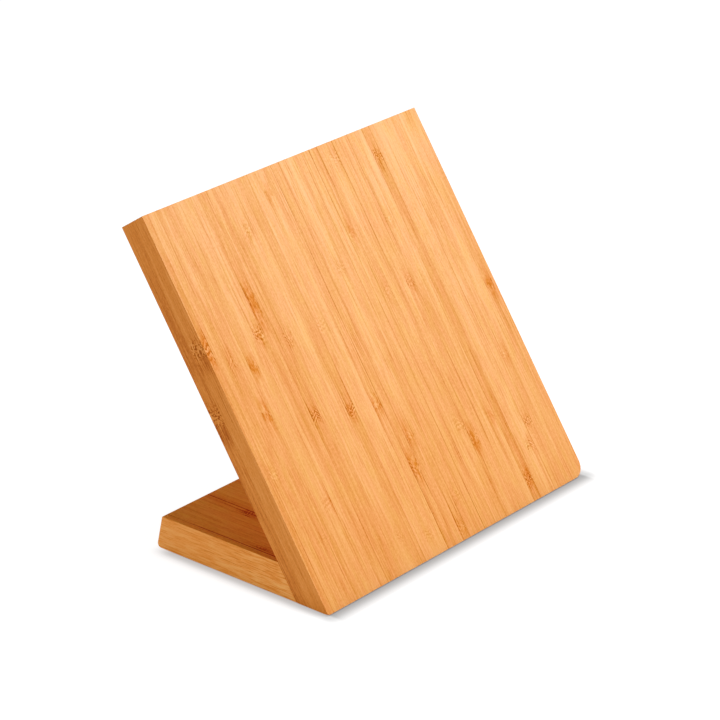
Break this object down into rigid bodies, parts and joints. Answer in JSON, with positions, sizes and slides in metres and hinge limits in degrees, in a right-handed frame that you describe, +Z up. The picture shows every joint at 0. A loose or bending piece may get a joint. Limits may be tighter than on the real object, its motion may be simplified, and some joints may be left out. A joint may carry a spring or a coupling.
{
  "type": "magnetic knife stand",
  "caption": "Leaning board of laminated bamboo on a low base slab, with disc magnets inside that hold knives on its face.",
  "frame": {"origin": "centre of the footprint, on the surface that the stand rests on", "axes": "+X to the right seen from the front, the leaning face looks towards -Y and up, +Z up"},
  "size_m": [0.233, 0.1484, 0.2009],
  "materials": {
    "bamboo_front": "satin, oiled",
    "bamboo_back": "satin, oiled",
    "bamboo_base": "satin, oiled",
    "magnet_nickel": "nickel plated",
    "dowel_beech": "raw, fluted",
    "foot_rubber": "matte"
  },
  "bodies": {
    "root": {"front_panel": "bamboo_front", "back_panel": "bamboo_back", "base_block": "bamboo_base", "magnet_low_1": "magnet_nickel", "magnet_low_2": "magnet_nickel", "magnet_low_3": "magnet_nickel", "magnet_low_4": "magnet_nickel", "magnet_low_5": "magnet_nickel", "magnet_low_6": "magnet_nickel", "magnet_mid_1": "magnet_nickel", "magnet_mid_2": "magnet_nickel", "magnet_mid_3": "magnet_nickel", "magnet_mid_4": "magnet_nickel", "magnet_mid_5": "magnet_nickel", "magnet_mid_6": "magnet_nickel", "magnet_top_1": "magnet_nickel", "magnet_top_2": "magnet_nickel", "magnet_top_3": "magnet_nickel", "magnet_top_4": "magnet_nickel", "magnet_top_5": "magnet_nickel", "magnet_top_6": "magnet_nickel", "dowel_1": "dowel_beech", "dowel_2": "dowel_beech", "dowel_3": "dowel_beech", "dowel_4": "dowel_beech", "foot_1": "foot_rubber", "foot_2": "foot_rubber", "foot_3": "foot_rubber", "foot_4": "foot_rubber"}
  },
  "joints": []
}
